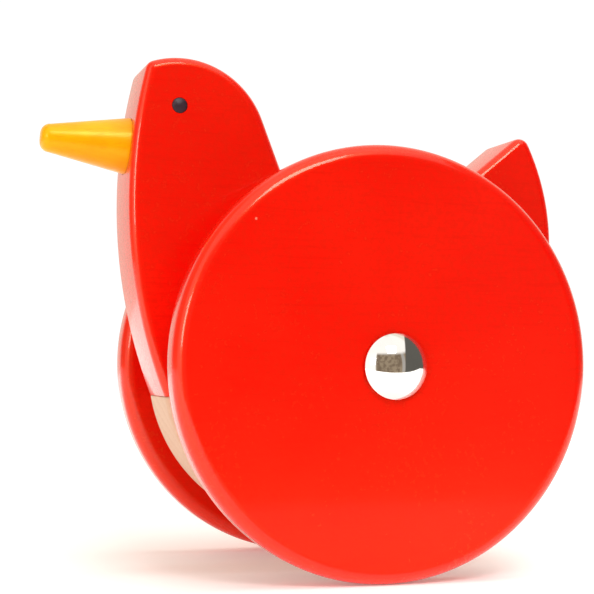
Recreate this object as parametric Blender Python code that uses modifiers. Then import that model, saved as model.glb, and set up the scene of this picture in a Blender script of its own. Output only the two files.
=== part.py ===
"""A wooden rolling bird: a red bird board hung between two big wheels on one steel axle.

Run it with: blender --background --python part.py

The frame is in metres with +Z up and +X the way the bird faces. The axle runs along Y. The origin is on
the floor, under the middle of the toy's box. Shapes are drawn in millimetres about the wheels' centre, and
the empty "wheel_centre" carries them to their place.
"""

from math import acos, atan2, cos, degrees, pi, radians, sin, sqrt, tan

import bmesh
import bpy
from mathutils import Matrix, Vector

MM = 0.001

# Gaps between solids
GLUE_GAP = 0.2  # between two pieces that are glued
SIDE_PLAY = 0.35  # between two pieces that turn on each other, along the axle
BORE_PLAY = 0.25  # round the rod where it is held, in radius

# Wheels and axle
WHEEL_RADIUS = 45.0
WHEEL_THICKNESS = 9.0
WHEEL_EDGE = 3.0
WHEEL_SIDES = 90  # an odd multiple of two, so that a flat of the rim lies on the floor
WHEEL_OUTER_FACE = 32.5  # distance of the outer face from the middle plane
AXLE_RADIUS = 2.5
AXLE_DROP = 0.65  # the loaded rod lies low in the wheels' bores, this far under their centres
AXLE_LAG = 0.7  # and this far behind them
WHEEL_BORE_RADIUS = 3.7
CAP_RADIUS = 6.7
CAP_SKIRT = 0.7
CAP_HEIGHT = 3.6
CAP_FLOOR = 1.9  # depth of the socket that grips the axle's end

# Bird board, drawn in the XZ plane: its foremost and rearmost points, and the arcs between them
BOARD_THICKNESS = 18.0
BOARD_EDGE = 1.9
BELLY_SIDE = (6.5, -1.1)  # centre of the belly's front arc, which its rear arc mirrors
BELLY_SIDE_RADIUS = 35.5
BELLY_TURN = 55.0  # degrees below the horizon where those arcs meet the flatter one between them
SEAM_HEIGHT = -7.5  # the glued seam between the red board and the bare belly
BREAST = (49.65, 35.05)
THROAT_RADIUS = 116.0
CROWN_CENTRE = (38.7, 45.5)
CROWN_RADIUS = 19.4
BROW_RADIUS = 2.2  # rounding where throat and crown meet
SADDLE_CENTRE = (-2.7, 46.0)
SADDLE_RADIUS = 19.3
RUMP = (-48.75, 27.5)
RUMP_RADIUS = 51.0
TAIL_TIP_RADIUS = 2.4
TAIL_TIP_ANGLE = 153.0  # where the tip's rounding sits, seen from the rump arc's centre

# Beak, eyes, spacers
BEAK_SEAT = (48.7, 46.35)
BEAK_TILT = 3.0  # degrees above the horizon
BEAK_ROOT_RADIUS = 6.15
BEAK_TIP_RADIUS = 3.05
BEAK_LENGTH = 18.8
BEAK_TIP_EDGE = 2.0
BEAK_ROOT_EDGE = 0.3
BEAK_SPIGOT_RADIUS = 3.0
BEAK_SPIGOT_LENGTH = 10.0
SPOT_FACE_REACH = 6.0  # how far the round flat under the beak is cut clear of the breast
EYE_PLACE = (39.3, 54.35)
EYE_RADIUS = 1.6
EYE_DEPTH = 4.0
EYE_DOME = 0.35
EYE_GAP = 0.1
SPACER_RADIUS = 12.0
SPACER_EDGE = 0.8

# What is inside the belly
BALLAST_RADIUS = 10.4
BALLAST_THICKNESS = 13.1
BALLAST_REACH = 24.5  # distance of each slug's centre from the axle
BALLAST_SPREAD = 28.0  # degrees from the pair's middle to each slug
BALLAST_LEAN = -9.2  # degrees from straight down to the pair's middle, to the rear
POCKET_DEPTH = 15.5
PLUG_THICKNESS = 1.9
DOWEL_RADIUS = 2.5
DOWEL_PLACE = 34.0
DOWEL_IN_BODY = 11.0
DOWEL_IN_BELLY = 8.0

CHAMFER = 0.5  # on the ends of the rod, the dowels, the slugs and the spigot
ROUND_SIDES = 40
SMALL_SIDES = 24
EDGE_STEPS = 3  # facets in each rounded edge

# Where the wheels' centre stands over the floor, and behind the middle of the toy
BEAK_DIRECTION = Vector((cos(radians(BEAK_TILT)), 0, sin(radians(BEAK_TILT))))
BEAK_TIP_FLAT = BEAK_TIP_RADIUS - BEAK_TIP_EDGE
FRONT_REACH = BEAK_SEAT[0] + BEAK_LENGTH * BEAK_DIRECTION.x + BEAK_TIP_FLAT * BEAK_DIRECTION.z
WHEEL_CENTRE = Vector((-(FRONT_REACH + RUMP[0]) / 2, 0, WHEEL_RADIUS * cos(pi / WHEEL_SIDES)))

WHEEL_INNER_FACE = WHEEL_OUTER_FACE - WHEEL_THICKNESS
BORE_RADIUS = AXLE_RADIUS + BORE_PLAY
HALF_BOARD = BOARD_THICKNESS / 2
SEAM_END = BELLY_SIDE[0] + sqrt(BELLY_SIDE_RADIUS**2 - (SEAM_HEIGHT - BELLY_SIDE[1]) ** 2)
ROD_LINE = (-AXLE_LAG, 0, -AXLE_DROP)


# ---------------------------------------------------------------- flat geometry


def polar(centre, radius, angle):
    """The point at a distance from the centre, in a direction given in degrees."""
    turn = radians(angle)
    return (centre[0] + radius * cos(turn), centre[1] + radius * sin(turn))


def arc(centre, radius, start, end, steps):
    """Points in the plane from one angle to another, in degrees, both ends included."""
    return [polar(centre, radius, start + (end - start) * i / steps) for i in range(steps + 1)]


def angle_to(centre, point):
    return degrees(atan2(point[1] - centre[1], point[0] - centre[0]))


def circles_meet(centre_a, radius_a, centre_b, radius_b):
    """The crossing of two circles that lies to the left of the line from a to b."""
    across = Vector(centre_b) - Vector(centre_a)
    along = (across.length**2 + radius_a**2 - radius_b**2) / (2 * across.length)
    aside = sqrt(radius_a**2 - along**2)
    unit = across.normalized()
    return tuple(Vector(centre_a) + unit * along + Vector((-unit.y, unit.x)) * aside)


def crossing_tangent(convex, convex_radius, hollow, hollow_radius, turn):
    """The direction, in degrees, from a convex arc's centre to where a straight edge leaves it for a hollow
    arc."""
    across = Vector(hollow) - Vector(convex)
    swing = degrees(acos((convex_radius + hollow_radius) / across.length))
    return degrees(atan2(across.y, across.x)) + turn * swing


def flank(extreme):
    """The centre and radius of the arc that runs from the board's foremost or rearmost point down to the
    seam, where it meets the belly."""
    drop = extreme[1] - SEAM_HEIGHT
    inward = abs(extreme[0]) - SEAM_END
    radius = (drop**2 + inward**2) / (2 * inward)
    side = 1 if extreme[0] > 0 else -1
    return (extreme[0] - side * radius, extreme[1]), radius


def belly_outline():
    """The belly below the seam, from its rear end to its front end, without those two points."""
    front, rear = BELLY_SIDE, (-BELLY_SIDE[0], BELLY_SIDE[1])
    dip = degrees(acos((SEAM_END - front[0]) / BELLY_SIDE_RADIUS))
    middle = (0, front[1] + front[0] * tan(radians(BELLY_TURN)))
    middle_radius = BELLY_SIDE_RADIUS + front[0] / cos(radians(BELLY_TURN))
    return (
        arc(rear, BELLY_SIDE_RADIUS, 180 + dip, 180 + BELLY_TURN, 8)[1:]
        + arc(middle, middle_radius, 180 + BELLY_TURN, 360 - BELLY_TURN, 20)[1:]
        + arc(front, BELLY_SIDE_RADIUS, 360 - BELLY_TURN, 360 - dip, 8)[1:-1]
    )


def board_outline():
    """The whole board, red part and belly, anticlockwise from the front end of the seam."""
    throat = (BREAST[0] - THROAT_RADIUS, BREAST[1])
    rump = (RUMP[0] + RUMP_RADIUS, RUMP[1])
    breast_arc, breast_radius = flank(BREAST)
    haunch_arc, haunch_radius = flank(RUMP)
    seam_front, seam_rear = (SEAM_END, SEAM_HEIGHT), (-SEAM_END, SEAM_HEIGHT)
    brow = circles_meet(throat, THROAT_RADIUS - BROW_RADIUS, CROWN_CENTRE, CROWN_RADIUS - BROW_RADIUS)
    nape = crossing_tangent(CROWN_CENTRE, CROWN_RADIUS, SADDLE_CENTRE, SADDLE_RADIUS, -1)
    tail = polar(rump, RUMP_RADIUS - TAIL_TIP_RADIUS, TAIL_TIP_ANGLE)
    tail_top = crossing_tangent(tail, TAIL_TIP_RADIUS, SADDLE_CENTRE, SADDLE_RADIUS, 1)
    return (
        arc(breast_arc, breast_radius, angle_to(breast_arc, seam_front), 0, 6)
        + arc(throat, THROAT_RADIUS, 0, angle_to(throat, brow), 5)[1:]
        + arc(brow, BROW_RADIUS, angle_to(throat, brow), angle_to(CROWN_CENTRE, brow), 4)[1:]
        + arc(CROWN_CENTRE, CROWN_RADIUS, angle_to(CROWN_CENTRE, brow), 90, 4)[1:]
        + arc(CROWN_CENTRE, CROWN_RADIUS, 90, nape, 8)[1:]
        + arc(SADDLE_CENTRE, SADDLE_RADIUS, nape - 180, tail_top - 180, 12)
        + arc(tail, TAIL_TIP_RADIUS, tail_top, TAIL_TIP_ANGLE, 5)
        + arc(rump, RUMP_RADIUS, TAIL_TIP_ANGLE, 180, 5)[1:]
        + arc(haunch_arc, haunch_radius, 180, 360 + angle_to(haunch_arc, seam_rear), 5)[1:]
        + belly_outline()
    )


# ---------------------------------------------------------------- Blender helpers


def clear_scene():
    for old in list(bpy.data.objects):
        bpy.data.objects.remove(old, do_unlink=True)


def new_collection(name):
    made = bpy.data.collections.new(name)
    bpy.context.scene.collection.children.link(made)
    return made


def new_material(name, colour, roughness, metallic=0.0):
    made = bpy.data.materials.new(name)
    made.use_nodes = True
    shader = made.node_tree.nodes["Principled BSDF"]
    shader.inputs["Base Color"].default_value = (*colour, 1)
    shader.inputs["Roughness"].default_value = roughness
    shader.inputs["Metallic"].default_value = metallic
    made.diffuse_color = (*colour, 1)
    return made


def place(obj, collection, parent, at=(0, 0, 0), turn=(0, 0, 0)):
    """Puts an object in a collection, at a place in millimetres and a turn in degrees, under a parent."""
    collection.objects.link(obj)
    obj.parent = parent
    obj.location = Vector(at) * MM
    obj.rotation_euler = [radians(t) for t in turn]
    return obj


def turned(name, profile, sides, closed=False):
    """A turned piece about its own Z, from a profile of (radius, height) that runs down its outer side."""
    mesh = bpy.data.meshes.new(name)
    count = len(profile)
    edges = [(i, i + 1) for i in range(count - 1)] + ([(count - 1, 0)] if closed else [])
    mesh.from_pydata([(r * MM, 0, h * MM) for r, h in profile], edges, [])
    obj = bpy.data.objects.new(name, mesh)
    screw = obj.modifiers.new("Turn", "SCREW")
    screw.steps = sides
    screw.render_steps = sides
    screw.use_merge_vertices = True
    screw.merge_threshold = 0.00001
    screw.use_smooth_shade = True
    return obj


def sawn(name, outline, thickness, edge):
    """A board with this outline in X and Z, its middle in the plane Y = 0, and its edges rounded over."""
    curve = bpy.data.curves.new(name, "CURVE")
    curve.dimensions = "2D"
    curve.fill_mode = "BOTH"
    curve.extrude = thickness / 2 * MM
    spline = curve.splines.new("POLY")
    spline.points.add(len(outline) - 1)
    for point, (x, z) in zip(spline.points, outline):
        point.co = (x * MM, z * MM, 0, 1)
    spline.use_cyclic_u = True
    drawn = bpy.data.objects.new(name + "_outline", curve)
    bpy.context.scene.collection.objects.link(drawn)
    drawn.rotation_euler = (pi / 2, 0, 0)
    bpy.context.view_layer.update()
    seen = drawn.evaluated_get(bpy.context.evaluated_depsgraph_get())
    mesh = bpy.data.meshes.new_from_object(seen)
    mesh.name = name
    mesh.transform(drawn.matrix_world)
    body = bmesh.new()
    body.from_mesh(mesh)
    bmesh.ops.remove_doubles(body, verts=body.verts, dist=0.000005)
    bmesh.ops.dissolve_limit(body, angle_limit=radians(0.1), verts=body.verts, edges=body.edges)
    bmesh.ops.recalc_face_normals(body, faces=body.faces)
    body.to_mesh(mesh)
    body.free()
    bpy.data.objects.remove(drawn)
    obj = bpy.data.objects.new(name, mesh)
    bevel = obj.modifiers.new("Round over", "BEVEL")
    bevel.width = edge * MM
    bevel.segments = EDGE_STEPS
    bevel.limit_method = "ANGLE"
    bevel.angle_limit = radians(50)
    return obj


def cut_away(obj, cutter, collection):
    """Cuts one shape out of an object. The cutter moves with the object's parent and isn't drawn."""
    collection.objects.link(cutter)
    cutter.parent = obj.parent
    cutter.hide_render = True
    cutter.display_type = "WIRE"
    cut = obj.modifiers.new(cutter.name, "BOOLEAN")
    cut.operation = "DIFFERENCE"
    cut.object = cutter


def drill(obj, name, radius, length, centre, along, cutters, sides=SMALL_SIDES):
    """Cuts a round hole: a cylinder about centre, along a direction."""
    mesh = bpy.data.meshes.new(name)
    body = bmesh.new()
    turn = Vector(along).to_track_quat("Z", "Y").to_matrix().to_4x4()
    bmesh.ops.create_cone(
        body,
        cap_ends=True,
        segments=sides,
        radius1=radius * MM,
        radius2=radius * MM,
        depth=length * MM,
        matrix=Matrix.Translation(Vector(centre) * MM) @ turn,
    )
    body.to_mesh(mesh)
    body.free()
    cut_away(obj, bpy.data.objects.new(name, mesh), cutters)


def saw_at_seam(obj, name, keep, cutters):
    """Keeps what lies above the seam (keep = 1) or below it (keep = -1), less half of the seam's gap."""
    block = 4 * BELLY_SIDE_RADIUS
    middle = SEAM_HEIGHT - keep * (block / 2 - GLUE_GAP / 2)
    mesh = bpy.data.meshes.new(name)
    body = bmesh.new()
    bmesh.ops.create_cube(body, size=block * MM, matrix=Matrix.Translation((0, 0, middle * MM)))
    body.to_mesh(mesh)
    body.free()
    cut_away(obj, bpy.data.objects.new(name, mesh), cutters)


def finish(obj, material, smooth_under=35):
    obj.data.materials.clear()
    obj.data.materials.append(material)
    if obj.data.polygons:
        obj.data.shade_smooth()
        obj.data.set_sharp_from_angle(angle=radians(smooth_under))
    return obj


def bar_profile(radius, high, low):
    """The profile of a round bar with both ends chamfered."""
    shoulder = radius - CHAMFER
    top = [(0, high), (shoulder, high), (radius, high - CHAMFER)]
    return top + [(radius, low + CHAMFER), (shoulder, low), (0, low)]


def turned_ring(outer, inner, low, high, edge):
    """The profile of a ring: its bore sharp, and its two outer edges rounded."""
    top = arc((outer - edge, high - edge), edge, 90, 0, EDGE_STEPS)
    bottom = arc((outer - edge, low + edge), edge, 0, -90, EDGE_STEPS)
    return [(inner, high)] + top + bottom + [(inner, low)]


# ---------------------------------------------------------------- the pieces


def ballast_places():
    """(x, z) of the rear and the front slug."""
    middle = -90 + BALLAST_LEAN
    return {
        "rear": polar((0, 0), BALLAST_REACH, middle - BALLAST_SPREAD),
        "front": polar((0, 0), BALLAST_REACH, middle + BALLAST_SPREAD),
    }


def make_bird_body(parts, cutters, hub, red):
    body = place(sawn("bird_body", board_outline(), BOARD_THICKNESS, BOARD_EDGE), parts, hub)
    saw_at_seam(body, "below_the_seam", 1, cutters)
    drill(body, "axle_bore", BORE_RADIUS, BOARD_THICKNESS * 2, ROD_LINE, (0, 1, 0), cutters)
    seat = Vector((BEAK_SEAT[0], 0, BEAK_SEAT[1]))
    spot_face = BEAK_ROOT_RADIUS + GLUE_GAP
    clear = seat + BEAK_DIRECTION * (SPOT_FACE_REACH / 2 - GLUE_GAP)
    drill(body, "beak_seat", spot_face, SPOT_FACE_REACH, clear, BEAK_DIRECTION, cutters, ROUND_SIDES)
    socket = BEAK_SPIGOT_LENGTH + GLUE_GAP
    drill(body, "beak_socket", BEAK_SPIGOT_RADIUS + GLUE_GAP, socket * 2, seat, BEAK_DIRECTION, cutters)
    for side, name in ((1, "left"), (-1, "right")):
        at = (EYE_PLACE[0], side * HALF_BOARD, EYE_PLACE[1])
        socket = EYE_DEPTH + GLUE_GAP
        drill(body, name + "_eye_socket", EYE_RADIUS + EYE_GAP, socket * 2, at, (0, 1, 0), cutters)
    drill_for_dowels(body, "in_body", DOWEL_IN_BODY, cutters)
    return finish(body, red)


def drill_for_dowels(board, name, depth, cutters):
    for side, end in ((1, "front"), (-1, "rear")):
        at = (side * DOWEL_PLACE, 0, SEAM_HEIGHT)
        hole = f"{end}_dowel_hole_{name}"
        drill(board, hole, DOWEL_RADIUS + GLUE_GAP, (depth + GLUE_GAP) * 2, at, (0, 0, 1), cutters)


def make_belly(parts, cutters, hub, beech):
    belly = place(sawn("belly_block", board_outline(), BOARD_THICKNESS, BOARD_EDGE), parts, hub)
    saw_at_seam(belly, "above_the_seam", -1, cutters)
    for name, (x, z) in ballast_places().items():
        at = (x, -HALF_BOARD, z)
        pocket = BALLAST_RADIUS + GLUE_GAP
        drill(belly, name + "_pocket", pocket, POCKET_DEPTH * 2, at, (0, 1, 0), cutters, ROUND_SIDES)
    drill_for_dowels(belly, "in_belly", DOWEL_IN_BELLY, cutters)
    return finish(belly, beech)


def make_ballast(parts, hub, steel, beech):
    """Two steel slugs in the belly's pockets, each closed by a thin wooden plug on the right side."""
    for name, (x, z) in ballast_places().items():
        slug = turned(
            name + "_ballast",
            bar_profile(BALLAST_RADIUS, BALLAST_THICKNESS, 0),
            ROUND_SIDES,
        )
        floor = -HALF_BOARD + POCKET_DEPTH - GLUE_GAP
        place(slug, parts, hub, (x, floor, z), (90, 0, 0))
        finish(slug, steel)
        plug = turned(
            name + "_ballast_plug",
            [(0, PLUG_THICKNESS), (BALLAST_RADIUS, PLUG_THICKNESS), (BALLAST_RADIUS, 0), (0, 0)],
            ROUND_SIDES,
        )
        place(plug, parts, hub, (x, -HALF_BOARD + PLUG_THICKNESS, z), (90, 0, 0))
        finish(plug, beech)


def make_dowels(parts, hub, beech):
    for side, name in ((1, "front"), (-1, "rear")):
        dowel = turned(
            name + "_glue_dowel",
            bar_profile(DOWEL_RADIUS, DOWEL_IN_BODY, -DOWEL_IN_BELLY),
            SMALL_SIDES,
        )
        place(dowel, parts, hub, (side * DOWEL_PLACE, 0, SEAM_HEIGHT))
        finish(dowel, beech)


def make_beak(parts, hub, yellow):
    """A tapered peg, with a thinner spigot behind its root that goes into the board."""
    taper = (BEAK_ROOT_RADIUS - BEAK_TIP_RADIUS) / BEAK_LENGTH
    tip = arc((BEAK_TIP_RADIUS - BEAK_TIP_EDGE, BEAK_LENGTH - BEAK_TIP_EDGE), BEAK_TIP_EDGE, 90, 0, 4)
    root_low = BEAK_ROOT_RADIUS - taper * BEAK_ROOT_EDGE
    root = [(root_low, BEAK_ROOT_EDGE), (BEAK_ROOT_RADIUS - BEAK_ROOT_EDGE, 0)]
    spigot = [(BEAK_SPIGOT_RADIUS, 0), (BEAK_SPIGOT_RADIUS, CHAMFER - BEAK_SPIGOT_LENGTH)]
    spigot_end = [(BEAK_SPIGOT_RADIUS - CHAMFER, -BEAK_SPIGOT_LENGTH), (0, -BEAK_SPIGOT_LENGTH)]
    profile = [(0, BEAK_LENGTH)] + tip + root + spigot + spigot_end
    beak = turned("beak", profile, ROUND_SIDES)
    place(beak, parts, hub, (BEAK_SEAT[0], 0, BEAK_SEAT[1]), (0, 90 - BEAK_TILT, 0))
    finish(beak, yellow)


def make_eyes(parts, hub, black):
    """A short peg with a low domed head in each side of the head."""
    head_radius = (EYE_RADIUS**2 + EYE_DOME**2) / (2 * EYE_DOME)
    edge = degrees(acos(EYE_RADIUS / head_radius))
    head = arc((0, EYE_DOME - head_radius), head_radius, 90, edge, 4)
    profile = head + [(EYE_RADIUS, -EYE_DEPTH), (0, -EYE_DEPTH)]
    for side, name, turn in ((1, "left_eye", -90), (-1, "right_eye", 90)):
        eye = turned(name, profile, SMALL_SIDES)
        place(eye, parts, hub, (EYE_PLACE[0], side * HALF_BOARD, EYE_PLACE[1]), (turn, 0, 0))
        finish(eye, black)


def make_spacers(parts, hub, beech):
    """A turned washer on each side, which keeps the wheel clear of the board."""
    low = HALF_BOARD + GLUE_GAP
    high = WHEEL_INNER_FACE - SIDE_PLAY
    profile = turned_ring(SPACER_RADIUS, BORE_RADIUS, low, high, SPACER_EDGE)
    for name, turn in (("left_spacer", -90), ("right_spacer", 90)):
        spacer = turned(name, profile, ROUND_SIDES, True)
        place(spacer, parts, hub, ROD_LINE, (turn, 0, 0))
        finish(spacer, beech)


def make_axle(parts, hub, steel, chrome):
    """The steel rod and the two pressed dome caps that keep the wheels on it."""
    rod = place(bpy.data.objects.new("rod_line", None), parts, hub, ROD_LINE)
    cap_base = WHEEL_OUTER_FACE + SIDE_PLAY
    socket_top = cap_base + CAP_FLOOR
    axle_end = socket_top - GLUE_GAP
    axle = turned("axle", bar_profile(AXLE_RADIUS, axle_end, -axle_end), SMALL_SIDES)
    place(axle, parts, rod, turn=(-90, 0, 0))
    finish(axle, steel)
    rise = CAP_HEIGHT - CAP_SKIRT
    dome_radius = (CAP_RADIUS**2 + rise**2) / (2 * rise)
    dome_edge = degrees(acos(CAP_RADIUS / dome_radius))
    dome = arc((0, cap_base + CAP_HEIGHT - dome_radius), dome_radius, 90, dome_edge, 8)
    grip = AXLE_RADIUS + GLUE_GAP / 2
    profile = dome + [(CAP_RADIUS, cap_base), (grip, cap_base), (grip, socket_top), (0, socket_top)]
    for name, turn in (("left_axle_cap", -90), ("right_axle_cap", 90)):
        cap = turned(name, profile, ROUND_SIDES)
        place(cap, parts, rod, turn=(turn, 0, 0))
        finish(cap, chrome)


def make_wheels(parts, hub, red):
    profile = turned_ring(WHEEL_RADIUS, WHEEL_BORE_RADIUS, WHEEL_INNER_FACE, WHEEL_OUTER_FACE, WHEEL_EDGE)
    for name, turn in (("left_wheel", -90), ("right_wheel", 90)):
        line = place(bpy.data.objects.new(name + "_line", None), parts, hub)
        wheel = turned(name, profile, WHEEL_SIDES, True)
        place(wheel, parts, line, turn=(turn, 0, 0))
        finish(wheel, red)


def main():
    clear_scene()
    parts = new_collection("rolling_bird")
    cutters = new_collection("cutters")
    red = new_material("red_lacquer", (0.90, 0.02, 0.008), 0.3)
    beech = new_material("bare_beech", (0.86, 0.60, 0.40), 0.55)
    yellow = new_material("yellow_lacquer", (0.93, 0.48, 0.02), 0.3)
    black = new_material("black_paint", (0.02, 0.02, 0.03), 0.3)
    steel = new_material("steel", (0.55, 0.56, 0.58), 0.3, 1.0)
    chrome = new_material("chrome", (0.85, 0.85, 0.87), 0.06, 1.0)
    hub = bpy.data.objects.new("wheel_centre", None)
    parts.objects.link(hub)
    hub.location = WHEEL_CENTRE * MM
    make_bird_body(parts, cutters, hub, red)
    make_belly(parts, cutters, hub, beech)
    make_ballast(parts, hub, steel, beech)
    make_dowels(parts, hub, beech)
    make_beak(parts, hub, yellow)
    make_eyes(parts, hub, black)
    make_spacers(parts, hub, beech)
    make_axle(parts, hub, steel, chrome)
    make_wheels(parts, hub, red)


main()
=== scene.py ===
"""The looks of the rolling bird: lacquered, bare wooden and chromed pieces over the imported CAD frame.

Sizes are in millimetres about the wheels' centre, and are turned to metres where a mesh is made. +X is the
way the bird faces, +Y is along the axle to its left, and +Z is up.
"""

from math import acos, atan2, cos, degrees, radians, sin, sqrt, tan

import bmesh
import bpy
from mathutils import Matrix, Vector


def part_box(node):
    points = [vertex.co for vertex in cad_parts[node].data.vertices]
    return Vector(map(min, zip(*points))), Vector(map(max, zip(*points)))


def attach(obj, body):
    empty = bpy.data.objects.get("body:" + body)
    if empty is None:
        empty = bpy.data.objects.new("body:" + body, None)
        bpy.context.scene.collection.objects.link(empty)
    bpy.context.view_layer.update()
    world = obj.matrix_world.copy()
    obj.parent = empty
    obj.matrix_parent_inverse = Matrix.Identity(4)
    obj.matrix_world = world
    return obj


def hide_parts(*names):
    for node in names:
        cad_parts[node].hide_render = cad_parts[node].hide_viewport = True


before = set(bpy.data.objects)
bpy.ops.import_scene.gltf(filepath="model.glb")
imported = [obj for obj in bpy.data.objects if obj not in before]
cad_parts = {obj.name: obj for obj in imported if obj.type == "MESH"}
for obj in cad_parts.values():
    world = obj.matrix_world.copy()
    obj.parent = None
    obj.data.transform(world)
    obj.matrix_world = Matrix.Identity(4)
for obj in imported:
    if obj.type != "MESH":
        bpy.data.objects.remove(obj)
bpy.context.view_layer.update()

MM = 0.001

# Measures that the CAD nodes' boxes don't give, the same as in the CAD
GLUE_GAP = 0.2
WHEEL_EDGE = 3.0
WHEEL_BORE_RADIUS = 3.7
AXLE_RADIUS = 2.5
BORE_RADIUS = 2.75
CAP_SKIRT = 0.7
CAP_FLOOR = 1.9
BOARD_EDGE = 1.9
BELLY_SIDE = (6.5, -1.1)
BELLY_SIDE_RADIUS = 35.5
BELLY_TURN = 55.0
SEAM_HEIGHT = -7.5
BREAST = (49.65, 35.05)
THROAT_RADIUS = 116.0
CROWN_CENTRE = (38.7, 45.5)
CROWN_RADIUS = 19.4
BROW_RADIUS = 2.2
SADDLE_CENTRE = (-2.7, 46.0)
SADDLE_RADIUS = 19.3
RUMP = (-48.75, 27.5)
RUMP_RADIUS = 51.0
TAIL_TIP_RADIUS = 2.4
TAIL_TIP_ANGLE = 153.0
BEAK_SEAT = (48.7, 46.35)
BEAK_TILT = 3.0
BEAK_ROOT_RADIUS = 6.15
BEAK_TIP_RADIUS = 3.05
BEAK_LENGTH = 18.8
BEAK_TIP_EDGE = 2.0
BEAK_ROOT_EDGE = 0.3
BEAK_SPIGOT_RADIUS = 3.0
BEAK_SPIGOT_LENGTH = 10.0
SPOT_FACE_REACH = 6.0
EYE_PLACE = (39.3, 54.35)
EYE_RADIUS = 1.6
EYE_DEPTH = 4.0
EYE_DOME = 0.35
EYE_GAP = 0.1
SPACER_EDGE = 0.8
POCKET_DEPTH = 15.5
DOWEL_PLACE = 34.0
DOWEL_IN_BODY = 11.0
DOWEL_IN_BELLY = 8.0
DOWEL_RADIUS = 2.5
SEAM_GAP = 0.08  # what the eye sees of the glue gaps
BOARD_SEAM_EASE = 0.6  # the rounding along the seam, on the red board and on the belly
BELLY_SEAM_EASE = 0.25
PLUG_EASE = 0.15

# How finely round shapes are made
WHEEL_SIDES = 288
TURNED_SIDES = 96
HOLE_SIDES = 64
EDGE_STEPS = 9
SEAM_STEPS = 4
TIGHT_STEPS = 10  # round the brow and the tail's tip
DOME_STEPS = 24
OUTLINE_STEP = 0.8  # length of each facet along the board's outline
FLAT_STRIP = 0.25  # a flat strip inside each rounding, which keeps the faces' shading flat
SMOOTH_UNDER = 35  # degrees between faces, above which an edge is sharp

# The camera, placed from the wheels' centre, with its lens for a square picture
CAMERA_PLACE = (103.147, 296.751, -0.066)
CAMERA_YAW = 17.429
CAMERA_PITCH = -2.702
CAMERA_ROLL = 0.529
CAMERA_LENS = 84.38
SENSOR_WIDTH = 36.0

# Each part of the surroundings: its light, the headings that it spans (start, full, full to, end), in
# degrees from straight out of the left wheel towards the bird's front, and the elevations where it is full
# and where it ends
STUDIO_LIGHT = (0.90, 0.83, 0.70)
SKY_LIGHT, SKY_SPAN, SKY_TOP = (1.12, 1.08, 1.02), (-80, -60, 64, 84), (80, 89)
FLANK_LIGHT, FLANK_SPAN, FLANK_TOP = (0.42, 0.32, 0.20), (72, 90, 125, 145), (55, 75)
ROOM_LIGHT, ROOM_SPAN, ROOM_TOP = (0.36, 0.28, 0.19), (-112, -98, 80, 95), (27, 37)
STRIP_LIGHT, STRIP_SPAN = (0.45, 0.42, 0.38), (-34, -32, -25, -23)
WINDOW_LIGHT, WINDOW_SPAN = (1.2, 1.16, 1.1), (43, 47, 72, 90)
CORNER_LIGHT, CORNER_SPAN = (0.12, 0.115, 0.10), (-112, -98, 0, 1)
CORNER_LEAN = (0.41, 0.435)  # how far aside its near edge is, where it starts and is full
CLUTTER_LIGHT = (0.22, 0.16, 0.11)  # dark blotches in the room
CLUTTER_SCALE = 6.0
CLUTTER_EDGE = (0.4, 0.6)
BACKDROP = (1.05, 1.05, 1.05)  # what the camera sees past the floor

# Each softbox: its name, place, size, power in watts, and whether glossy surfaces mirror it
SOFTBOXES = (
    ("high_panel", (10, 554, 499), (280, 230), 1.95, True),
    ("side_panel", (570, 462, 156), (160, 200), 0.85, True),
    ("top_panel", (-250, 120, 900), (900, 700), 4.6, False),
)

# The sheet of paper: its edges (left, right, front, back), its thickness, and the light painted into it as a
# glow, near the toy and far from it
PAPER_EDGES = (900.0, -900.0, 190.0, -1200.0)
PAPER_THICKNESS = 2
GLOW_NEAR, GLOW_FAR = (0.20, 0.19, 0.18), (0.6, 0.6, 0.6)
GLOW_STARTS, GLOW_FULL = 90.0, 400.0

# Where things lie, read from the CAD nodes
wheel_low, wheel_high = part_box("left_wheel")
board_low, board_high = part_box("bird_body")
CENTRE = Vector(((wheel_low.x + wheel_high.x) / 2, 0, (wheel_low.z + wheel_high.z) / 2)) / MM
WHEEL_RADIUS = (wheel_high.z - wheel_low.z) / MM / 2
WHEEL_THICKNESS = (wheel_high.y - wheel_low.y) / MM
WHEEL_MIDDLE = (wheel_high.y + wheel_low.y) / MM / 2
BOARD_THICKNESS = (board_high.y - board_low.y) / MM
HALF_BOARD = BOARD_THICKNESS / 2
SEAM_END = BELLY_SIDE[0] + sqrt(BELLY_SIDE_RADIUS**2 - (SEAM_HEIGHT - BELLY_SIDE[1]) ** 2)
BEAK_ALONG = (cos(radians(BEAK_TILT)), 0, sin(radians(BEAK_TILT)))

# ---------------------------------------------------------------- flat geometry


def polar(centre, radius, angle):
    turn = radians(angle)
    return (centre[0] + radius * cos(turn), centre[1] + radius * sin(turn))


def arc(centre, radius, start, end, steps):
    """Points in the plane from one angle to another, in degrees, both ends included."""
    return [polar(centre, radius, start + (end - start) * i / steps) for i in range(steps + 1)]


def fine_arc(centre, radius, start, end):
    """An arc whose facets are about OUTLINE_STEP long, with at least four."""
    length = abs(radians(end - start)) * radius
    return arc(centre, radius, start, end, max(4, round(length / OUTLINE_STEP)))


def straight(start, end):
    """The points between two others, about OUTLINE_STEP apart, without them."""
    start, end = Vector(start), Vector(end)
    steps = max(1, round((end - start).length / OUTLINE_STEP))
    return [tuple(start.lerp(end, i / steps)) for i in range(1, steps)]


def angle_to(centre, point):
    return degrees(atan2(point[1] - centre[1], point[0] - centre[0]))


def circles_meet(centre_a, radius_a, centre_b, radius_b):
    """The crossing of two circles that lies to the left of the line from a to b."""
    across = Vector(centre_b) - Vector(centre_a)
    along = (across.length**2 + radius_a**2 - radius_b**2) / (2 * across.length)
    aside = sqrt(radius_a**2 - along**2)
    unit = across.normalized()
    return tuple(Vector(centre_a) + unit * along + Vector((-unit.y, unit.x)) * aside)


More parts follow.
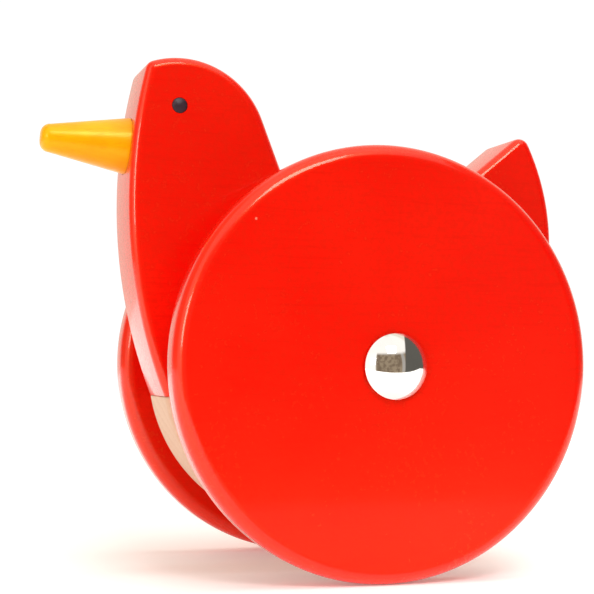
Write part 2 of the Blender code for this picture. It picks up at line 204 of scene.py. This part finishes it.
def crossing_tangent(convex, convex_radius, hollow, hollow_radius, turn):
    """The direction from a convex arc's centre to where a straight edge leaves it for a hollow arc."""
    across = Vector(hollow) - Vector(convex)
    swing = degrees(acos((convex_radius + hollow_radius) / across.length))
    return degrees(atan2(across.y, across.x)) + turn * swing


def flank(extreme):
    """The arc from the board's foremost or rearmost point down to the seam, where it meets the belly."""
    drop = extreme[1] - SEAM_HEIGHT
    inward = abs(extreme[0]) - SEAM_END
    radius = (drop**2 + inward**2) / (2 * inward)
    side = 1 if extreme[0] > 0 else -1
    return (extreme[0] - side * radius, extreme[1]), radius


def belly_outline():
    """The belly below the seam, from its rear end to its front end, without those two points."""
    front, rear = BELLY_SIDE, (-BELLY_SIDE[0], BELLY_SIDE[1])
    dip = degrees(acos((SEAM_END - front[0]) / BELLY_SIDE_RADIUS))
    middle = (0, front[1] + front[0] * tan(radians(BELLY_TURN)))
    middle_radius = BELLY_SIDE_RADIUS + front[0] / cos(radians(BELLY_TURN))
    return (
        fine_arc(rear, BELLY_SIDE_RADIUS, 180 + dip, 180 + BELLY_TURN)[1:]
        + fine_arc(middle, middle_radius, 180 + BELLY_TURN, 360 - BELLY_TURN)[1:]
        + fine_arc(front, BELLY_SIDE_RADIUS, 360 - BELLY_TURN, 360 - dip)[1:-1]
    )


def board_outline():
    """The whole board, red part and belly, anticlockwise from the front end of the seam."""
    throat = (BREAST[0] - THROAT_RADIUS, BREAST[1])
    rump = (RUMP[0] + RUMP_RADIUS, RUMP[1])
    breast_arc, breast_radius = flank(BREAST)
    haunch_arc, haunch_radius = flank(RUMP)
    seam_front, seam_rear = (SEAM_END, SEAM_HEIGHT), (-SEAM_END, SEAM_HEIGHT)
    brow = circles_meet(throat, THROAT_RADIUS - BROW_RADIUS, CROWN_CENTRE, CROWN_RADIUS - BROW_RADIUS)
    brow_start, brow_end = angle_to(throat, brow), angle_to(CROWN_CENTRE, brow)
    nape = crossing_tangent(CROWN_CENTRE, CROWN_RADIUS, SADDLE_CENTRE, SADDLE_RADIUS, -1)
    tail = polar(rump, RUMP_RADIUS - TAIL_TIP_RADIUS, TAIL_TIP_ANGLE)
    tail_top = crossing_tangent(tail, TAIL_TIP_RADIUS, SADDLE_CENTRE, SADDLE_RADIUS, 1)
    crown = fine_arc(CROWN_CENTRE, CROWN_RADIUS, brow_end, 90)
    crown += fine_arc(CROWN_CENTRE, CROWN_RADIUS, 90, nape)[1:]
    saddle = fine_arc(SADDLE_CENTRE, SADDLE_RADIUS, nape - 180, tail_top - 180)
    tip = fine_arc(tail, TAIL_TIP_RADIUS, tail_top, TAIL_TIP_ANGLE)
    return (
        fine_arc(breast_arc, breast_radius, angle_to(breast_arc, seam_front), 0)
        + fine_arc(throat, THROAT_RADIUS, 0, brow_start)[1:]
        + arc(brow, BROW_RADIUS, brow_start, brow_end, TIGHT_STEPS)[1:]
        + crown[1:]
        + straight(crown[-1], saddle[0])
        + saddle
        + straight(saddle[-1], tip[0])
        + arc(tail, TAIL_TIP_RADIUS, tail_top, TAIL_TIP_ANGLE, TIGHT_STEPS)
        + fine_arc(rump, RUMP_RADIUS, TAIL_TIP_ANGLE, 180)[1:]
        + fine_arc(haunch_arc, haunch_radius, 180, 360 + angle_to(haunch_arc, seam_rear))[1:]
        + belly_outline()
    )


def outward(points):
    """The unit normals of a closed anticlockwise outline at its points."""
    found = []
    for i, point in enumerate(points):
        along = (points[(i + 1) % len(points)] - points[i - 1]).normalized()
        found.append(Vector((along.y, -along.x)))
    return found


# ---------------------------------------------------------------- meshes


def to_object(name, body, material, at=(0, 0, 0)):
    """Turns a bmesh drawn in millimetres into an object, its origin placed from the wheels' centre."""
    bmesh.ops.recalc_face_normals(body, faces=body.faces)
    bmesh.ops.scale(body, vec=(MM, MM, MM), verts=body.verts)
    mesh = bpy.data.meshes.new(name)
    body.to_mesh(mesh)
    body.free()
    if material:
        mesh.materials.append(material)
    mesh.shade_smooth()
    mesh.set_sharp_from_angle(angle=radians(SMOOTH_UNDER))
    made = bpy.data.objects.new(name, mesh)
    bpy.context.scene.collection.objects.link(made)
    made.location = (CENTRE + Vector(at)) * MM
    return made


def lathe(profile, sides, closed=False):
    """A turned body about Z, from a profile of (radius, height) that runs down its outer side."""
    body = bmesh.new()
    rings = []
    for r, h in profile:
        if r == 0:
            rings.append([body.verts.new((0, 0, h))])
        else:
            corners = [polar((0, 0), r, 360 * i / sides) for i in range(sides)]
            rings.append([body.verts.new((x, y, h)) for x, y in corners])
    pairs = list(zip(rings, rings[1:])) + ([(rings[-1], rings[0])] if closed else [])
    for upper, lower in pairs:
        for i in range(sides):
            j = (i + 1) % sides
            if len(upper) == 1:
                body.faces.new((upper[0], lower[i], lower[j]))
            elif len(lower) == 1:
                body.faces.new((upper[i], lower[0], upper[j]))
            else:
                body.faces.new((upper[i], lower[i], lower[j], upper[j]))
    return body


def turn_to(body, direction):
    """Turns a body from +Z to a direction."""
    turn = Vector(direction).to_track_quat("Z", "Y").to_matrix()
    bmesh.ops.rotate(body, cent=(0, 0, 0), matrix=turn, verts=body.verts)
    return body


def rounded_board(outline, thickness, edge):
    """A flat board in X and Z with this outline, both its edges rounded over in EDGE_STEPS facets."""
    points = [Vector(p) for p in outline]
    normals = outward(points)
    insets = [(edge + FLAT_STRIP, thickness / 2)]
    insets += arc((edge, thickness / 2 - edge), edge, 90, 180, EDGE_STEPS)
    insets += [(x, -y) for x, y in reversed(insets)]
    body = bmesh.new()
    rings = []
    for inset, y in insets:
        moved = [p - n * inset for p, n in zip(points, normals)]
        rings.append([body.verts.new((p.x, y, p.y)) for p in moved])
    count = len(points)
    for one, other in zip(rings, rings[1:]):
        for i in range(count):
            j = (i + 1) % count
            body.faces.new((one[i], one[j], other[j], other[i]))
    body.faces.new(rings[0])
    body.faces.new(list(reversed(rings[-1])))
    bmesh.ops.recalc_face_normals(body, faces=body.faces)
    return body


def saw(body, keep, ease):
    """Keeps what lies above the seam (keep = 1) or below it (keep = -1), and eases the new corner."""
    bmesh.ops.bisect_plane(
        body,
        geom=body.verts[:] + body.edges[:] + body.faces[:],
        plane_co=(0, 0, SEAM_HEIGHT + keep * SEAM_GAP / 2),
        plane_no=(0, 0, -keep),
        clear_outer=True,
    )
    rim = [e for e in body.edges if e.is_boundary]
    bmesh.ops.edgeloop_fill(body, edges=rim)
    bmesh.ops.bevel(
        body, geom=rim, offset=ease, segments=SEAM_STEPS, profile=0.5, affect="EDGES", clamp_overlap=True
    )
    return body


def drill(obj, radius, length, centre, along):
    """Cuts a round hole: a cylinder about a centre, along a direction."""
    half = length / 2
    cutter = turn_to(lathe([(0, half), (radius, half), (radius, -half), (0, -half)], HOLE_SIDES), along)
    bmesh.ops.translate(cutter, vec=centre, verts=cutter.verts)
    tool = to_object("tool", cutter, None)
    cut = obj.modifiers.new("Hole", "BOOLEAN")
    cut.operation = "DIFFERENCE"
    cut.solver = "EXACT"
    cut.object = tool
    bpy.context.view_layer.update()
    shaped = bpy.data.meshes.new_from_object(obj.evaluated_get(bpy.context.evaluated_depsgraph_get()))
    shaped.set_sharp_from_angle(angle=radians(SMOOTH_UNDER))
    obj.modifiers.remove(cut)
    shaped.name = obj.name
    obj.data = shaped
    bpy.data.objects.remove(tool)


def ring_profile(outer, inner, low, high, edge):
    """A ring's profile: its bore sharp, its outer edges rounded, and a flat strip inside each rounding."""
    top = arc((outer - edge, high - edge), edge, 90, 0, EDGE_STEPS)
    bottom = arc((outer - edge, low + edge), edge, 0, -90, EDGE_STEPS)
    strip = outer - edge - FLAT_STRIP
    return [(inner, high), (strip, high)] + top + bottom + [(strip, low), (inner, low)]


def dome(radius, rise, top, steps):
    """A round dome's profile, from its crown on the axis, at a height of top, down to its edge."""
    sphere = (radius**2 + rise**2) / (2 * rise)
    edge = degrees(acos(radius / sphere))
    return [(0, top)] + arc((0, top - sphere), sphere, 90, edge, steps)[1:]


# ---------------------------------------------------------------- materials


class Nodes:
    """A short way to wire up a node tree, whose textures follow one kind of coordinates."""

    def __init__(self, tree, coordinates):
        self.tree = tree
        self.place = self.add("ShaderNodeTexCoord").outputs[coordinates]

    def add(self, kind, inputs=None, **settings):
        node = self.tree.nodes.new(kind)
        for key, value in settings.items():
            setattr(node, key, value)
        for key, value in (inputs or {}).items():
            if isinstance(value, bpy.types.NodeSocket):
                self.tree.links.new(value, node.inputs[key])
            else:
                node.inputs[key].default_value = value
        return node

    def mapped(self, where, **changes):
        return self.add("ShaderNodeMapping", {"Vector": where, **changes}).outputs[0]

    def stretched(self, scale, turn=(0, 0, 0)):
        return self.mapped(self.place, Scale=scale, Rotation=turn)

    def noise(self, scale, detail=2.0, rough=0.5, where=None, warp=0.0):
        made = self.add(
            "ShaderNodeTexNoise",
            {
                "Vector": where or self.place,
                "Scale": scale,
                "Detail": detail,
                "Roughness": rough,
                "Distortion": warp,
            },
        )
        return made.outputs["Fac"]

    def ramp(self, value, low, high, to_low=0.0, to_high=1.0):
        made = self.add(
            "ShaderNodeMapRange",
            {"Value": value, "From Min": low, "From Max": high, "To Min": to_low, "To Max": to_high},
            interpolation_type="SMOOTHSTEP",
        )
        return made.outputs["Result"]

    def math(self, operation, a, b=0.0):
        return self.add("ShaderNodeMath", {0: a, 1: b}, operation=operation).outputs[0]

    def times(self, a, b):
        return self.math("MULTIPLY", a, b)

    def vector_math(self, operation, *inputs):
        return self.add("ShaderNodeVectorMath", dict(enumerate(inputs)), operation=operation).outputs

    def mix(self, share, a, b):
        """A blend from colour a, where the share is zero, to colour b, where it is one."""
        made = self.add("ShaderNodeMix", data_type="RGBA")
        for socket, value in ((made.inputs[0], share), (made.inputs[6], a), (made.inputs[7], b)):
            if isinstance(value, bpy.types.NodeSocket):
                self.tree.links.new(value, socket)
            else:
                socket.default_value = (*value, 1)
        return made.outputs[2]

    def bump(self, height, distance, strength=1.0, under=None):
        inputs = {"Height": height, "Distance": distance, "Strength": strength}
        if under:
            inputs["Normal"] = under
        return self.add("ShaderNodeBump", inputs).outputs[0]


class Finish(Nodes):
    """A material, whose textures follow the object it is on."""

    def __init__(self, name):
        self.material = bpy.data.materials.new(name)
        self.material.use_nodes = True
        super().__init__(self.material.node_tree, "Object")
        self.shader = self.tree.nodes["Principled BSDF"]

    def drive(self, key, socket):
        self.tree.links.new(socket, self.shader.inputs[key])

    def done(self, colour, roughness, normal=None, **constants):
        self.drive("Base Color", colour)
        self.drive("Roughness", roughness)
        if normal:
            self.drive("Normal", normal)
        for key, value in constants.items():
            self.shader.inputs[key.replace("_", " ")].default_value = value
        return self.material


def red_lacquer(name, half, grain_turn=(0, 0, 0)):
    """Sprayed red lacquer on wood: mottled a little, with orange peel, faint grain and a few pale specks.
    Where the edges round over, out to half from the middle plane, a lighter, warmer red is painted in as a
    painted sheen; there and on the rim the lacquer is also more polished."""
    n = Finish(name)
    cloud = n.noise(35.0, 3.0)
    mottle = n.noise(850.0, 4.0, 0.65)
    grain = n.noise(1.0, 4.0, 0.6, n.stretched((90.0, 1500.0, 1500.0), grain_turn), 0.6)
    peel = n.noise(1300.0, 2.0, 0.5)
    across = n.math("ABSOLUTE", n.add("ShaderNodeSeparateXYZ", {0: n.place}).outputs["Y"])
    # painted sheen: a band on the rounded edges, between the faces and the rim, where the red is painted
    # lighter and warmer
    painted_sheen_in = n.ramp(across, (half - BOARD_EDGE - 0.2) * MM, (half - BOARD_EDGE * 0.5) * MM)
    painted_sheen_out = n.ramp(across, (half - BOARD_EDGE * 0.3) * MM, (half - 0.02) * MM, 1.0, 0.0)
    edge = n.times(painted_sheen_in, painted_sheen_out)
    colour = n.mix(n.ramp(cloud, 0.35, 0.65), (0.78, 0.0030, 0.0012), (0.83, 0.0060, 0.0020))
    colour = n.mix(n.ramp(mottle, 0.40, 0.65, 0.0, 0.7), colour, (0.72, 0.0060, 0.0016))
    colour = n.mix(n.ramp(grain, 0.50, 0.70, 0.0, 0.35), colour, (0.67, 0.0016, 0.0008))
    # painted highlight: the rounded edges are mixed halfway to a lighter, warmer red
    colour = n.mix(n.times(edge, 0.5), colour, (0.88, 0.025, 0.007))
    cells = n.add("ShaderNodeTexVoronoi", {"Vector": n.place, "Scale": 62.0, "Randomness": 1.0})
    lot = n.add("ShaderNodeSeparateColor", {0: cells.outputs["Color"]}).outputs[0]
    chosen = n.math("GREATER_THAN", lot, 0.62)
    dot = n.ramp(cells.outputs["Distance"], 0.010, 0.022, 1.0, 0.0)
    speck = n.times(dot, chosen)
    colour = n.mix(n.times(speck, 0.55), colour, (0.90, 0.36, 0.24))
    rough = n.math("ADD", n.ramp(mottle, 0.3, 0.7, 0.20, 0.25), n.times(n.noise(90.0), 0.05))
    normal = n.bump(grain, 0.000012, 0.7)
    normal = n.bump(peel, 0.000012, 0.8, normal)
    normal = n.bump(speck, 0.00003, 1.0, normal)
    rim = n.ramp(across, (half - 0.12) * MM, (half - 0.02) * MM, 1.0, 0.0)
    n.drive("Coat Weight", n.ramp(rim, 0.0, 1.0, 0.12, 0.62))
    tinted = {"Specular_Tint": (1.0, 0.5, 0.13, 1.0), "Coat_Roughness": 0.08}
    return n.done(colour, rough, normal, IOR=1.5, **tinted)


def yellow_lacquer():
    """Thin satin yellow on the turned beak, with the lathe's grain showing through along it."""
    n = Finish("yellow_lacquer_fine")
    tilt = (0, radians(BEAK_TILT), 0)
    grain = n.noise(1.0, 5.0, 0.65, n.stretched((110.0, 1300.0, 1300.0), tilt), 0.8)
    cloud = n.noise(140.0, 3.0)
    peel = n.noise(1500.0, 2.0)
    colour = n.mix(n.ramp(cloud, 0.3, 0.7), (0.94, 0.43, 0.0003), (0.92, 0.36, 0.0003))
    colour = n.mix(n.ramp(grain, 0.5, 0.72, 0.0, 0.45), colour, (0.86, 0.24, 0.0003))
    rough = n.ramp(grain, 0.3, 0.7, 0.28, 0.38)
    normal = n.bump(grain, 0.00003, 0.8)
    normal = n.bump(peel, 0.000015, 0.8, normal)
    tinted = {"Specular_Tint": (1.0, 1.0, 0.15, 1.0), "Coat_Weight": 0.12, "Coat_Roughness": 0.2}
    return n.done(colour, rough, normal, IOR=1.6, **tinted)


def beech(name, turn=(0, 0, 0), shift=(0.0, 0.0, 0.0)):
    """Bare sanded beech: pale year rings about an axis along X, short dark flecks and fine pores. The turn
    and shift, in metres, choose which piece of the tree it is cut from."""
    n = Finish(name)
    moved = n.mapped(n.place, Location=shift, Rotation=turn)
    long = n.mapped(moved, Scale=(0.09, 1.0, 1.0))
    sway = n.noise(40.0, 3.0, 0.5, long)
    rings = n.add(
        "ShaderNodeTexWave",
        {"Vector": long, "Scale": 95.0, "Distortion": 5.0, "Detail": 2.0, "Detail Scale": 1.2},
        wave_type="RINGS",
        rings_direction="X",
        wave_profile="SAW",
    ).outputs["Fac"]
    pores = n.noise(2600.0, 3.0, 0.6, n.mapped(moved, Scale=(0.12, 1, 1)))
    flecks = n.noise(1.0, 2.0, 0.5, n.mapped(moved, Scale=(260, 2400, 900)))
    colour = n.mix(n.ramp(sway, 0.3, 0.7), (0.72, 0.49, 0.35), (0.68, 0.44, 0.30))
    colour = n.mix(n.ramp(rings, 0.25, 1.0, 0.0, 0.4), colour, (0.62, 0.37, 0.235))
    colour = n.mix(n.ramp(flecks, 0.62, 0.74, 0.0, 0.5), colour, (0.50, 0.27, 0.15))
    colour = n.mix(n.ramp(pores, 0.6, 0.8, 0.0, 0.35), colour, (0.48, 0.27, 0.16))
    rough = n.ramp(pores, 0.3, 0.8, 0.45, 0.62)
    normal = n.bump(rings, 0.00004, 0.5)
    normal = n.bump(pores, 0.00002, 0.9, normal)
    return n.done(colour, rough, normal, IOR=1.45)


def black_paint():
    n = Finish("black_paint_fine")
    cloud = n.noise(900.0, 3.0)
    colour = n.mix(n.ramp(cloud, 0.3, 0.7), (0.030, 0.013, 0.022), (0.042, 0.018, 0.030))
    normal = n.bump(n.noise(2400.0, 2.0), 0.00001, 0.8)
    return n.done(colour, n.ramp(cloud, 0.3, 0.7, 0.34, 0.46), normal, IOR=1.4)


def chrome():
    """Plated caps with hairline wear scratches and a trace of haze."""
    n = Finish("chrome_fine")
    haze = n.noise(260.0, 3.0)
    hairs = n.noise(1.0, 2.0, 0.5, n.stretched((300.0, 9000.0, 9000.0), (0.3, 0.9, 0.5)))
    colour = n.mix(n.ramp(haze, 0.3, 0.7), (0.93, 0.92, 0.90), (0.88, 0.87, 0.85))
    rough = n.math("ADD", n.ramp(haze, 0.35, 0.75, 0.03, 0.07), n.ramp(hairs, 0.66, 0.72, 0.0, 0.06))
    normal = n.bump(haze, 0.000006, 0.6)
    return n.done(colour, rough, normal, Metallic=1.0)


def steel():
    """Ground steel rod: fine rings round it from the grinding."""
    n = Finish("steel_fine")
    lines = n.noise(1.0, 3.0, 0.6, n.stretched((500.0, 9000.0, 500.0)))
    colour = n.mix(n.ramp(lines, 0.3, 0.7), (0.56, 0.56, 0.58), (0.44, 0.44, 0.46))
    return n.done(colour, n.ramp(lines, 0.3, 0.7, 0.24, 0.4), n.bump(lines, 0.00001, 0.6), Metallic=1.0)


# ---------------------------------------------------------------- pieces


def give(piece, node, body):
    """The piece stands for one CAD node, which it hides, and moves with its body."""
    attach(piece, body)
    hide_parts(node)
    return piece


def node_middle(node):
    """The middle of a CAD node's box, in millimetres from the wheels' centre."""
    low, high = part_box(node)
    return (low + high) / 2 / MM - CENTRE


def turned_size(node):
    """The radius and the length of a CAD node that is turned about Y, in millimetres."""
    low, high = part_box(node)
    return (high.z - low.z) / MM / 2, (high.y - low.y) / MM


def drill_for_dowels(board, depth):
    """The dowels stand in both boards at the seam, to a depth in each."""
    for side in (1, -1):
        hole = (side * DOWEL_PLACE, 0, SEAM_HEIGHT)
        drill(board, DOWEL_RADIUS + GLUE_GAP, (depth + GLUE_GAP) * 2, hole, (0, 0, 1))


def make_body():
    body = saw(rounded_board(board_outline(), BOARD_THICKNESS, BOARD_EDGE), 1, BOARD_SEAM_EASE)
    made = to_object("fine_bird_body", body, red_lacquer("red_lacquer_board", HALF_BOARD))
    seat = Vector((BEAK_SEAT[0], 0, BEAK_SEAT[1]))
    ahead = seat + Vector(BEAK_ALONG) * (SPOT_FACE_REACH / 2 - SEAM_GAP)
    drill(made, BEAK_ROOT_RADIUS + SEAM_GAP / 2, SPOT_FACE_REACH, ahead, BEAK_ALONG)
    drill(made, BEAK_SPIGOT_RADIUS + GLUE_GAP, (BEAK_SPIGOT_LENGTH + GLUE_GAP) * 2, seat, BEAK_ALONG)
    drill(made, BORE_RADIUS, BOARD_THICKNESS * 2, node_middle("axle"), (0, 1, 0))
    for side in (1, -1):
        socket = (EYE_PLACE[0], side * HALF_BOARD, EYE_PLACE[1])
        drill(made, EYE_RADIUS + EYE_GAP, (EYE_DEPTH + GLUE_GAP) * 2, socket, (0, 1, 0))
    drill_for_dowels(made, DOWEL_IN_BODY)
    return give(made, "bird_body", "bird")


def make_belly():
    body = saw(rounded_board(board_outline(), BOARD_THICKNESS, BOARD_EDGE), -1, BELLY_SEAM_EASE)
    wood = beech("beech_belly", (0, radians(-6), 0), (0.0, 0.021, 0.034))
    made = to_object("fine_belly_block", body, wood)
    drill_for_dowels(made, DOWEL_IN_BELLY)
    for name in ("front_ballast", "rear_ballast"):
        radius, _ = turned_size(name)
        middle = node_middle(name)
        mouth = (middle.x, -HALF_BOARD, middle.z)
        drill(made, radius + GLUE_GAP, POCKET_DEPTH * 2, mouth, (0, 1, 0))
    return give(made, "belly_block", "bird")


def make_plugs():
    for number, name in enumerate(("front_ballast_plug", "rear_ballast_plug")):
        radius, length = turned_size(name)
        half = length / 2
        eased = [(radius - PLUG_EASE, half), (radius, half - PLUG_EASE), (radius, -half)]
        body = turn_to(lathe([(0, half)] + eased + [(0, -half)], TURNED_SIDES), (0, -1, 0))
        wood = beech("beech_" + name, (0, radians(8 - 20 * number), 0), (0.01, 0.017, 0.02 + 0.01 * number))
        give(to_object("fine_" + name, body, wood, node_middle(name)), name, "bird")


def make_beak():
    """Drawn about the middle of its root."""
    taper = (BEAK_ROOT_RADIUS - BEAK_TIP_RADIUS) / BEAK_LENGTH
    tip_middle = (BEAK_TIP_RADIUS - BEAK_TIP_EDGE, BEAK_LENGTH - BEAK_TIP_EDGE)
    tip = arc(tip_middle, BEAK_TIP_EDGE, 90, 0, EDGE_STEPS)
    root_low = BEAK_ROOT_RADIUS - taper * BEAK_ROOT_EDGE
    root = [(root_low, BEAK_ROOT_EDGE), (BEAK_ROOT_RADIUS - BEAK_ROOT_EDGE * 0.3, BEAK_ROOT_EDGE * 0.3)]
    root.append((BEAK_ROOT_RADIUS - BEAK_ROOT_EDGE, 0))
    spigot = [(BEAK_SPIGOT_RADIUS, 0), (BEAK_SPIGOT_RADIUS, -BEAK_SPIGOT_LENGTH), (0, -BEAK_SPIGOT_LENGTH)]
    profile = [(0, BEAK_LENGTH)] + tip + root + spigot
    body = turn_to(lathe(profile, TURNED_SIDES), BEAK_ALONG)
    made = to_object("fine_beak", body, yellow_lacquer(), (BEAK_SEAT[0], 0, BEAK_SEAT[1]))
    return give(made, "beak", "bird")


def make_eyes():
    profile = dome(EYE_RADIUS, EYE_DOME, EYE_DOME, EDGE_STEPS)
    profile += [(EYE_RADIUS, -EYE_DEPTH), (0, -EYE_DEPTH)]
    paint = black_paint()
    for side, node in ((1, "left_eye"), (-1, "right_eye")):
        body = turn_to(lathe(profile, TURNED_SIDES), (0, side, 0))
        made = to_object("fine_" + node, body, paint, (EYE_PLACE[0], side * HALF_BOARD, EYE_PLACE[1]))
        give(made, node, "bird")


def make_spacers():
    for side, node in ((1, "left_spacer"), (-1, "right_spacer")):
        radius, length = turned_size(node)
        profile = ring_profile(radius, BORE_RADIUS, -length / 2, length / 2, SPACER_EDGE)
        body = turn_to(lathe(profile, TURNED_SIDES, True), (0, 1, 0))
        wood = beech("beech_" + node, (0, radians(30 * side), 0), (0.004, 0.012, 0.02))
        give(to_object("fine_" + node, body, wood, node_middle(node)), node, "bird")


def make_caps():
    plating = chrome()
    for side, node in ((1, "left_axle_cap"), (-1, "right_axle_cap")):
        radius, height = turned_size(node)
        grip = AXLE_RADIUS + GLUE_GAP / 2
        profile = dome(radius, height - CAP_SKIRT, height, DOME_STEPS)
        profile += [(radius, 0), (grip, 0), (grip, CAP_FLOOR), (0, CAP_FLOOR)]
        body = turn_to(lathe(profile, TURNED_SIDES), (0, side, 0))
        middle = node_middle(node)
        made = to_object("fine_" + node, body, plating, (middle.x, middle.y - side * height / 2, middle.z))
        give(made, node, "bird")


def make_wheels():
    half = WHEEL_THICKNESS / 2
    profile = ring_profile(WHEEL_RADIUS, WHEEL_BORE_RADIUS, -half, half, WHEEL_EDGE)
    for side, node, turn in ((1, "left_wheel", 0.2), (-1, "right_wheel", 1.1)):
        body = turn_to(lathe(profile, WHEEL_SIDES, True), (0, 1, 0))
        paint = red_lacquer("red_lacquer_" + node, half, (0, turn, 0))
        made = to_object("fine_" + node, body, paint, (0, side * WHEEL_MIDDLE, 0))
        give(made, node, node)


def finish_cad_nodes():
    """The rod, slugs and dowels stay as the CAD has them, in finer materials."""
    metal = steel()
    wood = beech("beech_dowels", (0, radians(90), 0))
    for name, paint in (
        ("axle", metal),
        ("front_ballast", metal),
        ("rear_ballast", metal),
        ("front_glue_dowel", wood),
        ("rear_glue_dowel", wood),
    ):
        for material_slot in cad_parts[name].material_slots:
            material_slot.material = paint


# ---------------------------------------------------------------- studio


def make_floor():
    """A sheet of white paper, which ends in front of the toy, so that the dim room past it is mirrored."""
    left, right, front, back = PAPER_EDGES
    n = Finish("white_paper")
    tooth = n.noise(900.0, 3.0)
    away = n.vector_math("LENGTH", n.place)["Value"]
    # painted light: the paper glows though it is no lamp, faintly near the toy, which lifts its shadows, and
    # more strongly farther out
    n.drive("Emission Color", n.mix(n.ramp(away, GLOW_STARTS * MM, GLOW_FULL * MM), GLOW_NEAR, GLOW_FAR))
    paper = n.done(
        n.mix(n.ramp(tooth, 0.3, 0.7), (0.92, 0.92, 0.92), (0.90, 0.90, 0.90)),
        n.ramp(tooth, 0.3, 0.7, 0.75, 0.85),
        n.bump(tooth, 0.00002, 0.4),
        Emission_Strength=1.0,
    )
    body = bmesh.new()
    corners = [(left, front), (right, front), (right, back), (left, back)]
    top = [body.verts.new((x, y, 0)) for x, y in corners]
    under = [body.verts.new((x, y, -PAPER_THICKNESS)) for x, y in corners]
    body.faces.new(top)
    body.faces.new(list(reversed(under)))
    for i in range(4):
        j = (i + 1) % 4
        body.faces.new((top[i], under[i], under[j], top[j]))
    floor = to_object("paper_floor", body, paper)
    floor.location = (CENTRE.x * MM, 0, wheel_low.z)


def make_world():
    """White all round to the eye. To light and mirrors it is a white studio with a dim room on the toy's
    left, which ends in a window and a dull flank towards the bird's front and in a dark corner behind it."""
    world = bpy.data.worlds.new("studio")
    bpy.context.scene.world = world
    world.use_nodes = True
    world.node_tree.nodes.clear()
    n = Nodes(world.node_tree, "Generated")
    ray = n.place
    way = n.add("ShaderNodeSeparateXYZ", {0: ray}).outputs
    turn = n.math("ARCTAN2", way["X"], way["Y"])

    def between(start, start_full, end_full, end):
        """One between two headings, fading to none on both sides."""
        begun = n.ramp(turn, radians(start), radians(start_full))
        return n.times(begun, n.ramp(turn, radians(end), radians(end_full)))

    def under(full, top):
        """One below an elevation, in degrees, fading to none at another."""
        return n.ramp(way["Z"], sin(radians(top)), sin(radians(full)))

    # The corner's near edge leans back as it rises, so that the domed cap mirrors it upright
    facing = radians(CAMERA_YAW)
    halfway = n.vector_math("ADD", ray, (sin(facing), cos(facing), 0))[0]
    halfway = n.vector_math("NORMALIZE", halfway)[0]
    lean = n.vector_math("DOT_PRODUCT", halfway, (-cos(facing), sin(facing), 0))["Value"]
    clutter = n.noise(CLUTTER_SCALE)
    room = n.mix(n.ramp(clutter, *CLUTTER_EDGE), ROOM_LIGHT, CLUTTER_LIGHT)
    room = n.mix(between(*STRIP_SPAN), room, STRIP_LIGHT)
    room = n.mix(between(*WINDOW_SPAN), room, WINDOW_LIGHT)
    sky = n.times(between(*SKY_SPAN), under(*SKY_TOP))
    colour = n.mix(sky, STUDIO_LIGHT, SKY_LIGHT)
    colour = n.mix(n.times(between(*FLANK_SPAN), under(*FLANK_TOP)), colour, FLANK_LIGHT)
    colour = n.mix(n.times(between(*ROOM_SPAN), under(*ROOM_TOP)), colour, room)
    colour = n.mix(n.times(between(*CORNER_SPAN), n.ramp(lean, *CORNER_LEAN)), colour, CORNER_LIGHT)
    colour = n.mix(n.add("ShaderNodeLightPath").outputs["Is Camera Ray"], colour, BACKDROP)
    back = n.add("ShaderNodeBackground", {"Color": colour, "Strength": 1.0})
    n.add("ShaderNodeOutputWorld", {"Surface": back.outputs[0]})


def softbox(name, place, size, power, mirrored):
    """A rectangular area light that faces the toy."""
    lamp = bpy.data.lights.new(name, "AREA")
    lamp.shape = "RECTANGLE"
    lamp.size, lamp.size_y = size[0] * MM, size[1] * MM
    lamp.energy = power
    made = bpy.data.objects.new(name, lamp)
    bpy.context.scene.collection.objects.link(made)
    made.location = (CENTRE + Vector(place)) * MM
    made.rotation_euler = (-Vector(place)).to_track_quat("-Z", "Y").to_euler()
    made.visible_glossy = mirrored


def make_camera():
    yaw, pitch, roll = radians(CAMERA_YAW), radians(CAMERA_PITCH), radians(CAMERA_ROLL)
    back = Vector((sin(yaw) * cos(pitch), cos(yaw) * cos(pitch), sin(pitch)))
    side = Vector((0, 0, 1)).cross(back).normalized()
    up = back.cross(side)
    level = Matrix((side, up, back)).transposed()
    lens = bpy.data.cameras.new("camera")
    lens.lens = CAMERA_LENS
    lens.sensor_width = SENSOR_WIDTH
    lens.clip_start = 0.01
    made = bpy.data.objects.new("camera", lens)
    bpy.context.scene.collection.objects.link(made)
    turned = level @ Matrix.Rotation(roll, 3, "Z")
    made.matrix_world = Matrix.Translation((CENTRE + Vector(CAMERA_PLACE)) * MM) @ turned.to_4x4()
    bpy.context.scene.camera = made


make_body()
make_belly()
make_plugs()
make_beak()
make_eyes()
make_spacers()
make_caps()
make_wheels()
finish_cad_nodes()
make_floor()
make_world()
for panel in SOFTBOXES:
    softbox(*panel)
make_camera()
bpy.context.scene.view_settings.view_transform = "Standard"
